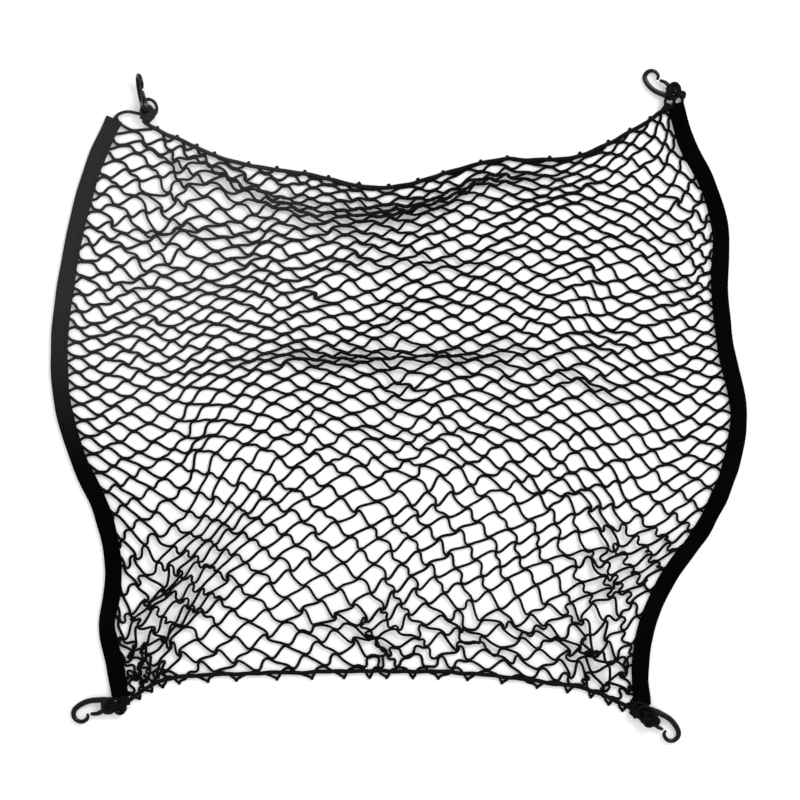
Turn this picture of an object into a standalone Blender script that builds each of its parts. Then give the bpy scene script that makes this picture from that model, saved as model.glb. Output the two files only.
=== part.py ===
"""A cargo net of knotless black cord, lying spread on a flat surface.

Two folded webbing tapes hold the sides of the net in their slots, a draw cord runs through the
meshes along the top and along the bottom, and at each corner a knot ties the draw cord to a
moulded hook and to the end of the tape. The surface is z = 0, +Y runs from the bottom draw cord
to the top one, and the origin is the middle of the whole part's footprint.
"""

import math
from collections import namedtuple

import bmesh
import bpy
from mathutils import Matrix, Vector, noise

MM = 0.001  # every size below is in millimetres

# The middle of the part's footprint, in the coordinates of the tables below.
FOOTPRINT_MIDDLE = Vector((0.0, 5.1, 0.0))

GAP = 0.3  # between pieces that touch
MERGE = 0.01  # points nearer than this are one point

# ---- The net. One of its meshes stands for two by two of the real ones.
NET_BAR = 3.0  # width and height of a bar of the net
NET_COLUMNS = 20  # half meshes across
NET_ROWS = 32  # half meshes from the top draw cord to the bottom one
MESH_CORNERS = ((-1, 0), (0, 1), (1, 0), (0, -1))  # columns across, rows down
NET_SWAY = 3.0  # how far a joint strays from its even place
NET_SWAY_SPAN = 60.0  # the distance over which that stray changes
LEG_BOW = 1.6  # how far the middle of a leg strays
LEG_BOW_SPAN = 9.0
EDGE_LIFTS = {0: 1.35, 1: 0.9}  # how far the outer columns of joints are lifted into the tape

# How high each row of joints lies, from the left tape to the right one.
Row = namedtuple("Row", "row left inner_left middle inner_right right")
NET_LEVELS = (
    Row(6, 204, 164, 169, 181, 188),
    Row(13, 92, 76, 75, 84, 75),
    Row(19, -8, -2, -1, -5, -18),
    Row(25, -118, -114, -104, -121, -148),
)

# Where the net is gathered into a fold or a crumple: its middle, its direction in degrees, how
# far it reaches along and across, what share of the meshes' height it takes away at its middle,
# and how high it stands.
Fold = namedtuple("Fold", "x y turn half_length half_width squeeze height")
NET_FOLDS = {
    "bunch under the swag": Fold(-21, 196, 0, 70, 16, 0.45, 5.5),
    "patch below the bunch": Fold(1, 148, 0, 40, 14, 0.40, 4.0),
    "long cross fold": Fold(31, 55, 1, 125, 13, 0.40, 5.0),
    "tuck right of the middle": Fold(181, 30, -20, 38, 16, 0.45, 6.0),
    "crumple low on the left": Fold(-234, -175, -66, 32, 20, 0.50, 8.0),
    "pleat above that crumple": Fold(-207, -108, 82, 32, 16, 0.35, 4.0),
    "crumple at the left corner": Fold(-246, -228, -30, 24, 18, 0.45, 5.0),
    "crumple low on the right": Fold(213, -176, 12, 32, 20, 0.50, 7.0),
    "bunch at the upper right": Fold(282, 236, -68, 50, 16, 0.40, 4.0),
    "bunch on the right side": Fold(292, 82, 84, 52, 18, 0.40, 4.5),
}

# ---- The webbing tapes, folded lengthwise over the net's edge.
TAPE_WIDTH = 17.0
TAPE_PLY = 0.9
TAPE_FOLD = 1.5  # the thickness of the fold at the tape's outer edge
TAPE_SLOT = NET_BAR + 3 * GAP
TAPE_HEIGHT = 2 * TAPE_PLY + TAPE_SLOT
TAPE_ROUNDING = 1.2
TAPE_STATIONS = 26
NET_TIP_IN_TAPE = 6.0  # how far the net's edge reaches into the slot

Bend = namedtuple("Bend", "x y")
LEFT_TAPE_LINE = (
    Bend(-287, 287), Bend(-303, 250), Bend(-320, 193), Bend(-333, 125), Bend(-339.5, 65),
    Bend(-336.5, 8), Bend(-320, -50), Bend(-296, -104), Bend(-286.5, -160), Bend(-291, -213),
    Bend(-284, -255), Bend(-279, -283),
)
RIGHT_TAPE_LINE = (
    Bend(276.5, 300), Bend(288, 266), Bend(307, 229), Bend(320.5, 185), Bend(320.5, 120),
    Bend(326, 66), Bend(339.5, -8), Bend(332, -54), Bend(306, -115), Bend(266, -173),
    Bend(248, -215), Bend(241, -262), Bend(242, -290),
)

# ---- The draw cords, through the top and the bottom meshes.
DRAW_CORD_RADIUS = 2.0
DRAW_CORD_HEIGHT = DRAW_CORD_RADIUS + 0.05
DRAW_CORD_STATIONS = 46
TIP_TO_DRAW_CORD = DRAW_CORD_RADIUS + GAP + 0.68 * NET_BAR  # from a mesh's tip to the cord's line
TOP_CORD_ROUTE = (
    Bend(-246.4, 285.3), Bend(-240, 279.5), Bend(-217, 269), Bend(-195, 259), Bend(-176, 251),
    Bend(-142, 243), Bend(-115, 239), Bend(-89, 235), Bend(-67, 230), Bend(-39, 224),
    Bend(-12, 222), Bend(15, 227), Bend(39, 234), Bend(76, 245), Bend(102, 250),
    Bend(142, 250), Bend(172, 252), Bend(203, 263), Bend(227, 276), Bend(250, 289),
    Bend(262, 297), Bend(270, 302), Bend(277.7, 306.6),
)
BOTTOM_CORD_ROUTE = (
    Bend(-272.7, -292.9), Bend(-261, -283), Bend(-241, -272), Bend(-223, -267), Bend(-194, -265),
    Bend(-139, -263), Bend(-99, -262), Bend(-49, -261), Bend(1, -261), Bend(51, -262),
    Bend(101, -266), Bend(153, -273), Bend(178, -277), Bend(200, -283), Bend(217, -291),
    Bend(234.6, -298.4),
)

# ---- The hooks, one moulded piece each: a body with an eye, a shank bent into a crook, and a
# tongue that closes the mouth. Along a hook x runs from the eye to the crook, and y to the mouth.
HOOK_THICKNESS = 6.0
HOOK_BODY = {"back": -5.8, "front": 7.2, "shank_side": -9.5, "mouth_side": 6.3}
HOOK_BODY_CORNERS = 16
HOOK_BODY_SQUARENESS = 2.8
HOOK_BODY_CHAMFER = 0.8
HOOK_EYE = Vector((-1.8, -1.4, 0.0))
HOOK_EYE_RADIUS = 2.3
SHANK_START = Vector((2.7, -7.2, 0.0))
SHANK_RADIUS = 2.7
Run = namedtuple("Run", "length bend_radius turn steps end_radius")
HOOK_RUNS = {
    "straight shank": Run(10.0, 0, 0, 1, 2.7),
    "sweep": Run(0, 27.0, 40, 4, 2.5),
    "crook": Run(0, 6.9, 175, 8, 1.75),
    "point": Run(2.7, 0, 0, 1, 1.4),
}
TONGUE_ROUTE = (Vector((5.4, 2.4, 0)), Vector((9.0, 4.1, 0)), Vector((13.5, 5.1, 0)),
                Vector((18.5, 4.9, 0)))
TONGUE_RADII = (1.7, 1.4, 1.15, 0.95)

# Each hook's place: the middle of its body, the turn of its x axis, its pitch down towards the
# crook, and its roll about its own length. One stands nearly on edge, and the others lie flat.
Lie = namedtuple("Lie", "x y z turn pitch roll")
HOOK_LIES = {
    "top_left": Lie(-253.3, 301.5, 11.2, 103.3, 0, 105),
    "top_right": Lie(274.3, 318.5, 7.2, 158, 6.8, 180),
    "bottom_left": Lie(-289.5, -297, 7.2, 183.5, 6.8, 0),
    "bottom_right": Lie(250, -306, 7.2, -28, 6.8, 180),
}

# ---- The knots: a wound lump, a loop through the hook's eye, and a tail into the tape's slot.
# Half sizes along the hook, across it and upwards, and how far behind the hook's middle it lies.
Lump = namedtuple("Lump", "along across up behind")
KNOT_LUMPS = {
    "top_left": Lump(5.4, 8.6, 6.0, 12.0),
    "top_right": Lump(5.0, 6.4, 5.4, 11.6),
    "bottom_left": Lump(5.6, 7.0, 5.8, 12.2),
    "bottom_right": Lump(5.6, 7.4, 5.8, 12.2),
}
KNOT_RIDGES = 3
KNOT_RIDGE = 0.09  # the height of its wound turns, as a share of its radius
KNOT_SEGMENTS, KNOT_RINGS = 16, 9
KNOT_CORD_RADIUS = 1.5
LOOP_CLEARANCE = 0.6
TAIL_HEIGHT = TAPE_PLY + GAP + KNOT_CORD_RADIUS
TAIL_ROUTES = {
    "top_left": (Bend(-264.5, 292.5), Bend(-272.5, 297), Bend(-281, 294.5), Bend(-287, 285),
                 Bend(-290.5, 276)),
    "top_right": (Bend(282.7, 306.8), Bend(278, 299.5), Bend(279.5, 290)),
    "bottom_left": (Bend(-278, -289), Bend(-278, -281), Bend(-279.5, -272)),
    "bottom_right": (Bend(240, -293), Bend(239.5, -286), Bend(239.2, -277)),
}

# ---- Colours: hex sRGB, roughness.
Finish = namedtuple("Finish", "colour roughness")
FINISHES = {
    "net_cord": Finish("0E0E0F", 0.75),
    "webbing": Finish("0C0C0D", 0.8),
    "draw_cord": Finish("101011", 0.7),
    "hook_nylon": Finish("141415", 0.4),
}


# ------------------------------------------------------------------ curves
def through(places, values, place):
    """The value at a place of the smooth curve that has these values at these places."""
    last = len(places) - 1
    k = min(max(sum(1 for p in places if p <= place) - 1, 0), last - 1)

    def slope(i):
        low, high = max(i - 1, 0), min(i + 1, last)
        return (values[high] - values[low]) / (places[high] - places[low])

    span = places[k + 1] - places[k]
    t = (place - places[k]) / span
    start, end = values[k], values[k + 1]
    return (
        (2 * t**3 - 3 * t**2 + 1) * start
        + (t**3 - 2 * t**2 + t) * span * slope(k)
        + (3 * t**2 - 2 * t**3) * end
        + (t**3 - t**2) * span * slope(k + 1)
    )


def distances(points):
    """How far along the broken line through them each point lies."""
    along = [0.0]
    for a, b in zip(points, points[1:]):
        along.append(along[-1] + (b - a).length)
    return along


def smooth_line(points, count):
    """That many evenly spaced points along the smooth curve through these."""
    points = [Vector(p) for p in points]
    along = distances(points)
    size = len(points[0])
    places = [along[-1] * i / (count - 1) for i in range(count)]
    return [
        Vector([through(along, [p[axis] for p in points], place) for axis in range(size)])
        for place in places
    ]


def height_at(line, x):
    """The y of a line, given from left to right, at x."""
    xs = [p.x for p in line]
    x = min(max(x, xs[0]), xs[-1])
    k = min(max(sum(1 for value in xs if value <= x) - 1, 0), len(xs) - 2)
    share = (x - xs[k]) / (xs[k + 1] - xs[k])
    return line[k].y + share * (line[k + 1].y - line[k].y)


def side_at(line, y):
    """The x of a line, given from top to bottom, at y."""
    return height_at([Vector((-p.y, p.x)) for p in line], -y)


def ease(low, high, value):
    t = min(max((value - low) / (high - low), 0.0), 1.0)
    return t * t * (3 - 2 * t)


# ------------------------------------------------------------------ objects
def clear_scene():
    for old in list(bpy.data.objects):
        bpy.data.objects.remove(old, do_unlink=True)
    for old in list(bpy.data.collections):
        bpy.data.collections.remove(old)


def new_collection(name):
    made = bpy.data.collections.new(name)
    bpy.context.scene.collection.children.link(made)
    return made


def material(name):
    finish = FINISHES[name]
    made = bpy.data.materials.get(name)
    if made is None:
        made = bpy.data.materials.new(name)
        made.use_nodes = True
        shader = made.node_tree.nodes["Principled BSDF"]
        srgb = [int(finish.colour[k : k + 2], 16) / 255 for k in (0, 2, 4)]
        shader.inputs["Base Color"].default_value = (*[c**2.2 for c in srgb], 1.0)
        shader.inputs["Roughness"].default_value = finish.roughness
        shader.inputs["Metallic"].default_value = 0.0
    return made


def place(obj, collection, parent=None, finish=None):
    collection.objects.link(obj)
    obj.parent = parent
    if finish:
        obj.data.materials.append(material(finish))
    return obj


def to_metres(points):
    return [Vector((*p, 0.0)[:3]) * MM for p in points]


def tube(name, points, radii, sides=2):
    """A round cord or rod along these points; radii is one radius or one for each point."""
    data = bpy.data.curves.new(name, "CURVE")
    data.dimensions = "3D"
    data.bevel_resolution = sides
    data.use_fill_caps = True
    spline = data.splines.new("POLY")
    spline.points.add(len(points) - 1)
    several = isinstance(radii, (list, tuple))
    data.bevel_depth = (max(radii) if several else radii) * MM
    for k, (knot, point) in enumerate(zip(spline.points, to_metres(points))):
        knot.co = (*point, 1.0)
        knot.radius = radii[k] / max(radii) if several else 1.0
    return bpy.data.objects.new(name, data)


def as_mesh(obj, cutters):
    """The object as a mesh with its caps closed; the curve it came from is removed."""
    if obj.name not in cutters.objects:
        cutters.objects.link(obj)
    bpy.context.view_layer.update()
    graph = bpy.context.evaluated_depsgraph_get()
    mesh = bpy.data.meshes.new_from_object(obj.evaluated_get(graph))
    work = bmesh.new()
    work.from_mesh(mesh)
    bmesh.ops.remove_doubles(work, verts=work.verts, dist=MERGE * MM)
    bmesh.ops.recalc_face_normals(work, faces=work.faces)
    work.to_mesh(mesh)
    work.free()
    made = bpy.data.objects.new(obj.name, mesh)
    made.matrix_world = obj.matrix_world
    bpy.data.objects.remove(obj, do_unlink=True)
    cutters.objects.link(made)
    made.display_type = "WIRE"
    made.hide_render = True
    return made


def join(body, others, operation="UNION"):
    """Boolean modifiers on the body, one for each of the others."""
    for other in others:
        step = body.modifiers.new(other.name, "BOOLEAN")
        step.operation = operation
        step.solver = "EXACT"
        step.object = other


def baked(obj, name, cutters):
    """A plain mesh of the object as its modifiers leave it."""
    bpy.context.view_layer.update()
    graph = bpy.context.evaluated_depsgraph_get()
    mesh = bpy.data.meshes.new_from_object(obj.evaluated_get(graph))
    mesh.name = name
    mesh.materials.clear()
    mesh.shade_smooth()
    mesh.set_sharp_from_angle(angle=math.radians(45))
    for part in list(cutters.objects):
        bpy.data.objects.remove(part, do_unlink=True)
    return mesh


# ------------------------------------------------------------------ tapes and draw cords
def tape_section(collection):
    """The folded tape's cross section: x runs towards the net, y is the height."""
    half = TAPE_WIDTH / 2
    back = -half + TAPE_FOLD
    upper = TAPE_PLY + TAPE_SLOT
    outline = (
        (-half + TAPE_ROUNDING, 0), (half, 0), (half, TAPE_PLY), (back, TAPE_PLY),
        (back, upper), (half, upper), (half, TAPE_HEIGHT), (-half + TAPE_ROUNDING, TAPE_HEIGHT),
        (-half, TAPE_HEIGHT - TAPE_ROUNDING), (-half, TAPE_ROUNDING),
    )
    data = bpy.data.curves.new("tape_section", "CURVE")
    data.dimensions = "2D"
    data.fill_mode = "NONE"
    spline = data.splines.new("POLY")
    spline.points.add(len(outline) - 1)
    spline.use_cyclic_u = True
    for point, (x, y) in zip(spline.points, reversed(outline)):
        point.co = (x * MM, y * MM, 0, 1)
    section = bpy.data.objects.new("tape_section", data)
    section.hide_render = True
    section.display_type = "WIRE"
    collection.objects.link(section)
    return section


def tape(name, line, towards_net, collection, guides, root):
    """A folded tape along its line; towards_net is +1 where the net lies at +X of it."""
    section = bpy.data.objects.get("tape_section") or tape_section(guides)
    points = smooth_line([(b.x, b.y) for b in line], TAPE_STATIONS)
    data = bpy.data.curves.new(name, "CURVE")
    data.dimensions = "3D"
    data.twist_mode = "Z_UP"
    data.bevel_mode = "OBJECT"
    data.bevel_object = section
    data.use_fill_caps = True
    spline = data.splines.new("POLY")
    spline.points.add(len(points) - 1)
    ordered = points[::-1] if towards_net > 0 else points
    for knot, point in zip(spline.points, to_metres(ordered)):
        knot.co = (*point, 1.0)
    made = bpy.data.objects.new(name, data)
    place(made, collection, root, "webbing")
    return points


def draw_cord(name, route, collection, root):
    line = smooth_line([(b.x, b.y) for b in route], DRAW_CORD_STATIONS)
    cord = tube(name, [(p.x, p.y, DRAW_CORD_HEIGHT) for p in line], DRAW_CORD_RADIUS)
    place(cord, collection, root, "draw_cord")
    return line


# ------------------------------------------------------------------ the net
def row_height(row, share, top, bottom):
    """How high a row lies at a share of the way from the left tape to the right one."""
    stations = (0.0, 0.25, 0.5, 0.75, 1.0)
    levels = [through(stations, level[1:], share) for level in NET_LEVELS]
    rows = [0, *[level.row for level in NET_LEVELS], NET_ROWS]
    return through(rows, [top, *levels, bottom], row)


def fold_pull(x, y):
    """How far the folds move a point of the net, and how high they lift it."""
    moved, lifted = Vector((0.0, 0.0)), 0.0
    for fold in NET_FOLDS.values():
        along = Vector((math.cos(math.radians(fold.turn)), math.sin(math.radians(fold.turn))))
        across = Vector((-along.y, along.x))
        away = Vector((x - fold.x, y - fold.y))
        reach = math.exp(-((away.dot(along) / fold.half_length) ** 2))
        side = away.dot(across) / fold.half_width
        near = reach * math.exp(-side * side)
        moved -= across * fold.squeeze * fold.half_width * side * near
        lifted += fold.height * near
    return moved, lifted


def stray(x, y, span):
    """A smooth wandering over the net, within about one unit each way."""
    across = noise.noise(Vector((x / span, y / span, 0.0)))
    along = noise.noise(Vector((x / span, y / span, 50.0)))
    return Vector((across, along)) * 2


def net_point(column, row, lines):
    """A joint of the net, in millimetres."""
    share = column / NET_COLUMNS
    seam = TAPE_WIDTH / 2 - NET_TIP_IN_TAPE
    left, right = -300.0, 300.0
    for _ in range(3):  # the side seams depend on the height, and the edges on the side
        x = left + share * (right - left)
        top = height_at(lines["top"], x) - TIP_TO_DRAW_CORD
        bottom = height_at(lines["bottom"], x) + TIP_TO_DRAW_CORD
        y = row_height(row, share, top, bottom)
        left = side_at(lines["left"], y) + seam
        right = side_at(lines["right"], y) - seam
    to_side = min(column, NET_COLUMNS - column)
    to_edge = min(to_side, row, NET_ROWS - row)
    moved, lifted = fold_pull(x, y)
    moved = ease(0.0, 2.0, to_edge) * (moved + NET_SWAY * stray(x, y, NET_SWAY_SPAN))
    z = NET_BAR / 2 + EDGE_LIFTS.get(to_side, 0.0) + ease(1.0, 3.0, to_edge) * lifted
    return Vector((x + moved.x, y + moved.y, z))


def leg_middle(one, other):
    """Half way along a leg, a little to one side of the straight line."""
    middle = (one + other) / 2
    leg = other - one
    aside = Vector((-leg.y, leg.x, 0.0)).normalized()
    return middle + aside * LEG_BOW * stray(middle.x, middle.y, LEG_BOW_SPAN).x


def net(lines, collection, root):
    """Diamond meshes as faces, which a wireframe turns into one net of bars."""
    work = bmesh.new()
    joints = {
        (column, row): net_point(column, row, lines)
        for column in range(NET_COLUMNS + 1)
        for row in range(NET_ROWS + 1)
        if (column + row) % 2 == 0
    }
    made = {}

    def vertex(*ends):
        """The vertex at a joint, or half way along the leg between two of them."""
        key = tuple(sorted(ends))
        if key not in made:
            point = joints[ends[0]] if len(ends) == 1 else leg_middle(*[joints[e] for e in key])
            made[key] = work.verts.new(point * MM)
        return made[key]

    for column in range(1, NET_COLUMNS):
        for row in range(1, NET_ROWS):
            if (column + row) % 2:
                corners = [(column + across, row + down) for across, down in MESH_CORNERS]
                ring = []
                for k, corner in enumerate(corners):
                    ring += [vertex(corner), vertex(corner, corners[(k + 1) % 4])]
                work.faces.new(ring)
    mesh = bpy.data.meshes.new("net_panel")
    work.to_mesh(mesh)
    work.free()
    panel = bpy.data.objects.new("net_panel", mesh)
    bars = panel.modifiers.new("bars", "WIREFRAME")
    bars.thickness = NET_BAR * MM
    bars.offset = 0.0
    bars.use_even_offset = True
    bars.use_relative_offset = False
    bars.use_boundary = True
    bars.use_replace = True
    place(panel, collection, root, "net_cord")
    return panel


# ------------------------------------------------------------------ hooks and knots
def run_points():
    """The hook's middle line from its body to its point, with the radius at each step."""
    point, heading = SHANK_START.copy(), 0.0
    points, radii = [point.copy()], [SHANK_RADIUS]
    for run in HOOK_RUNS.values():
        first = radii[-1]
        for step in range(run.steps):
            turn = math.radians(run.turn / run.steps)
            if run.bend_radius:
                chord = 2 * run.bend_radius * math.sin(turn / 2)
            else:
                chord = run.length / run.steps
            middle = heading + turn / 2
            point = point + chord * Vector((math.cos(middle), math.sin(middle), 0.0))
            heading += turn
            points.append(point.copy())
            radii.append(first + (run.end_radius - first) * (step + 1) / run.steps)
    return points, radii


def hook_body(guides):
    """The flat block that holds the eye, the shank and the tongue."""
    middle_x = (HOOK_BODY["front"] + HOOK_BODY["back"]) / 2
    middle_y = (HOOK_BODY["mouth_side"] + HOOK_BODY["shank_side"]) / 2
    half_x, half_y = HOOK_BODY["front"] - middle_x, HOOK_BODY["mouth_side"] - middle_y
    data = bpy.data.curves.new("hook_body", "CURVE")
    data.dimensions = "2D"
    data.fill_mode = "BOTH"
    data.extrude = HOOK_THICKNESS / 2 * MM
    spline = data.splines.new("POLY")
    spline.points.add(HOOK_BODY_CORNERS - 1)
    spline.use_cyclic_u = True
    for k, knot in enumerate(spline.points):
        angle = 2 * math.pi * (k + 0.5) / HOOK_BODY_CORNERS
        c, s = math.cos(angle), math.sin(angle)
        size = (abs(c) ** HOOK_BODY_SQUARENESS + abs(s) ** HOOK_BODY_SQUARENESS) ** (
            -1 / HOOK_BODY_SQUARENESS
        )
        x, y = middle_x + half_x * size * c, middle_y + half_y * size * s
        knot.co = (x * MM, y * MM, 0, 1)
    block = as_mesh(bpy.data.objects.new("hook_body", data), guides)
    chamfer = block.modifiers.new("chamfer", "BEVEL")
    chamfer.width = HOOK_BODY_CHAMFER * MM
    chamfer.limit_method = "ANGLE"
    chamfer.angle_limit = math.radians(60)
    return block


def hook_mesh(guides):
    points, radii = run_points()
    shank = as_mesh(tube("hook_shank", points, radii), guides)
    tongue = as_mesh(tube("hook_tongue", TONGUE_ROUTE, TONGUE_RADII), guides)
    eye_mesh = bpy.data.meshes.new("hook_eye")
    work = bmesh.new()
    bmesh.ops.create_cone(
        work, cap_ends=True, segments=12, depth=3 * HOOK_THICKNESS * MM,
        radius1=HOOK_EYE_RADIUS * MM, radius2=HOOK_EYE_RADIUS * MM,
        matrix=Matrix.Translation(HOOK_EYE * MM),
    )
    work.to_mesh(eye_mesh)
    work.free()
    eye = bpy.data.objects.new("hook_eye", eye_mesh)
    guides.objects.link(eye)
    block = hook_body(guides)
    join(block, [shank, tongue])
    join(block, [eye], "DIFFERENCE")
    return baked(block, "hook", guides)


def hook_matrix(lie):
    turned = (
        Matrix.Rotation(math.radians(lie.turn), 4, "Z")
        @ Matrix.Rotation(math.radians(lie.pitch), 4, "Y")
        @ Matrix.Rotation(math.radians(lie.roll), 4, "X")
    )
    return Matrix.Translation(Vector((lie.x, lie.y, lie.z)) * MM) @ turned


def knot_middle(corner):
    """The lump of the knot lies behind the hook's body, on the surface."""
    lie, lump = HOOK_LIES[corner], KNOT_LUMPS[corner]
    turn = math.radians(lie.turn)
    x = lie.x - lump.behind * math.cos(turn)
    y = lie.y - lump.behind * math.sin(turn)
    return Vector((x, y, lump.up + 0.1))


def knot_lump(corner, middle, guides):
    """A lump with the ridges of its wound turns."""
    lump = KNOT_LUMPS[corner]
    mesh = bpy.data.meshes.new("lump")
    work = bmesh.new()
    bmesh.ops.create_uvsphere(work, u_segments=KNOT_SEGMENTS, v_segments=KNOT_RINGS, radius=1)
    for vert in work.verts:
        around = math.atan2(vert.co.y, vert.co.x)
        down = math.acos(max(-1, min(1, vert.co.z)))
        ridge = math.cos(KNOT_RIDGES * around + 3 * down + lump.across) * math.sin(down)
        vert.co *= 1 - KNOT_RIDGE + KNOT_RIDGE * ridge
        vert.co *= MM
    bmesh.ops.scale(work, verts=work.verts, vec=(lump.along, lump.across, lump.up))
    turned = Matrix.Rotation(math.radians(HOOK_LIES[corner].turn), 4, "Z")
    bmesh.ops.transform(
        work, verts=work.verts, matrix=Matrix.Translation(middle * MM) @ turned
    )
    work.to_mesh(mesh)
    work.free()
    made = bpy.data.objects.new("lump", mesh)
    guides.objects.link(made)
    return made


def eye_loop(lie, middle, guides):
    """The cord from the lump over the hook's end, through its eye and back under it."""
    matrix = hook_matrix(lie)
    over = HOOK_THICKNESS / 2 + LOOP_CLEARANCE + KNOT_CORD_RADIUS
    back = HOOK_BODY["back"]
    eye = HOOK_EYE
    local = [
        Vector((back - 3.0, eye.y, over - 1.0)), Vector((back - 0.2, eye.y, over)),
        Vector((eye.x - 1.6, eye.y, over)), Vector((eye.x, eye.y, over - 1.8)),
        Vector((eye.x, eye.y, 0)),
    ]
    local += [Vector((p.x, p.y, -p.z)) for p in reversed(local[:-1])]
    world = [matrix @ (p * MM) / MM for p in local]
    points = smooth_line([middle, *world, middle], 20)
    loop = tube("eye_loop", points[:-1], KNOT_CORD_RADIUS, sides=1)
    return as_mesh(loop, guides)


def knot(corner, collection, guides, root):
    middle = knot_middle(corner)
    route = TAIL_ROUTES[corner]
    heights = [middle.z - (middle.z - TAIL_HEIGHT) * min(1.0, (k + 1) / max(1, len(route) - 1.5))
               for k in range(len(route))]
    stops = [middle, *[Vector((b.x, b.y, h)) for b, h in zip(route, heights)]]
    for stop in stops[-2:]:
        stop.z = TAIL_HEIGHT
    tail = as_mesh(tube("tail", smooth_line(stops, 12), KNOT_CORD_RADIUS, sides=1), guides)
    lump = knot_lump(corner, middle, guides)
    loop = eye_loop(HOOK_LIES[corner], middle, guides)
    join(lump, [loop, tail])
    made = bpy.data.objects.new(f"knot_{corner}", baked(lump, f"knot_{corner}", guides))
    return place(made, collection, root, "draw_cord")


def hook(corner, mesh, collection, root):
    made = bpy.data.objects.new(f"hook_{corner}", mesh)
    made.matrix_world = hook_matrix(HOOK_LIES[corner])
    if not mesh.materials:
        mesh.materials.append(material("hook_nylon"))
    return place(made, collection, root)


def main():
    clear_scene()
    parts = new_collection("cargo_net")
    guides = new_collection("guides")
    root = bpy.data.objects.new("cargo_net_origin", None)
    parts.objects.link(root)
    root.location = -FOOTPRINT_MIDDLE * MM
    lines = {
        "top": draw_cord("top_draw_cord", TOP_CORD_ROUTE, parts, root),
        "bottom": draw_cord("bottom_draw_cord", BOTTOM_CORD_ROUTE, parts, root),
    }
    shape = hook_mesh(guides)
    for corner in HOOK_LIES:
        hook(corner, shape, parts, root)
        knot(corner, parts, guides, root)
    lines["left"] = tape("left_tape", LEFT_TAPE_LINE, 1, parts, guides, root)
    lines["right"] = tape("right_tape", RIGHT_TAPE_LINE, -1, parts, guides, root)
    net(lines, parts, root)


main()
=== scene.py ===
"""A black cargo net laid out on a white surface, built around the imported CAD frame.

The net's joints lie in rows and columns on measured levels, drawn together where a cord between
them would be too short. Tables of crowds and folds say where its legs bow, gather and ride over
each other. Two folded webbing tapes, two elastic draw cords, four moulded hooks and the knots
that tie them stand for their CAD nodes. Sizes below are in millimetres, in the tables' own
coordinates, as in the CAD source.
"""

import math
from collections import namedtuple

import bmesh
import bpy
import numpy as np
from mathutils import Matrix, Vector

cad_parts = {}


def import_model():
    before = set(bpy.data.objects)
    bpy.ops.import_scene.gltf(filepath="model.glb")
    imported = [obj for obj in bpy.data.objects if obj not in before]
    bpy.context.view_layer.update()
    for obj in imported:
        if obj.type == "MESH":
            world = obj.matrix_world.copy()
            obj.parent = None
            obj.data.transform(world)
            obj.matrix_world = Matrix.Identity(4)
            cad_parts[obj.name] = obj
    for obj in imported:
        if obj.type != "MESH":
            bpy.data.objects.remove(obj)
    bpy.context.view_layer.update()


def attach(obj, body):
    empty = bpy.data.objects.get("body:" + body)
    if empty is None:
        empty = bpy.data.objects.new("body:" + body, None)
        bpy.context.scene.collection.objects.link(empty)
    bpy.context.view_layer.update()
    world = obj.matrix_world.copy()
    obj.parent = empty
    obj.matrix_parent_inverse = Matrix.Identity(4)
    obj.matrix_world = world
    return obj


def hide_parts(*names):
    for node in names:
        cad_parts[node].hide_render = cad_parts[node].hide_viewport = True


MM = 0.001

# The middle of the part's footprint, in the coordinates of the tables.
FOOTPRINT_MIDDLE = np.array((0.0, 5.1, 0.0))
# The middle of the picture and its width, in the same coordinates.
VIEW_MIDDLE = (1.0, 10.0)
VIEW_WIDTH = 800.0
LENS = 200.0
SENSOR = 36.0
# In metres: how far the white surface reaches and how far below 0 it lies, and the lamps.
SURFACE_HALF, SURFACE_DROP = 6, 0.0002
Lamp = namedtuple("Lamp", "size watts x y z")
LAMPS = {"window": Lamp(1.3, 42.0, 1.6, 1.5, 2.6), "soft_box": Lamp(1.6, 110.0, 1.0, 1.74, 1.7)}

Bend = namedtuple("Bend", "x y")


def bends(*rows):
    return tuple(Bend(*row) for row in rows)


LEFT_TAPE_LINE = bends(
    (-284.5, 291), (-303, 250), (-320, 193), (-333, 125), (-339.5, 65), (-336.5, 8), (-320, -50),
    (-296, -104), (-285.5, -160), (-287, -185), (-292, -213), (-284, -255), (-278.5, -287),
)
RIGHT_TAPE_LINE = bends(
    (276, 306), (288, 266), (307, 229), (320.5, 185), (320.5, 120), (326, 66), (339.5, -8),
    (332, -54), (306, -115), (266, -173), (248, -215), (241, -262), (243, -295),
)
TOP_CORD_ROUTE = bends(
    (-255.5, 289.5), (-248, 283), (-240, 279), (-217, 269), (-195, 259), (-176, 251), (-142, 243),
    (-115, 239), (-89, 235), (-67, 230), (-39, 224), (-12, 222), (15, 227), (39, 234), (76, 245),
    (102, 250), (142, 250), (172, 252), (203, 263), (227, 276), (250, 289), (262, 297), (270, 302),
    (277.7, 306.6),
)
BOTTOM_CORD_ROUTE = bends(
    (-272.7, -292.9), (-261, -283), (-241, -272), (-223, -267), (-194, -265), (-139, -263),
    (-99, -262), (-49, -261), (1, -261), (51, -262), (101, -266), (153, -273), (178, -277),
    (200, -283), (217, -291), (234.6, -298.4),
)

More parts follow.
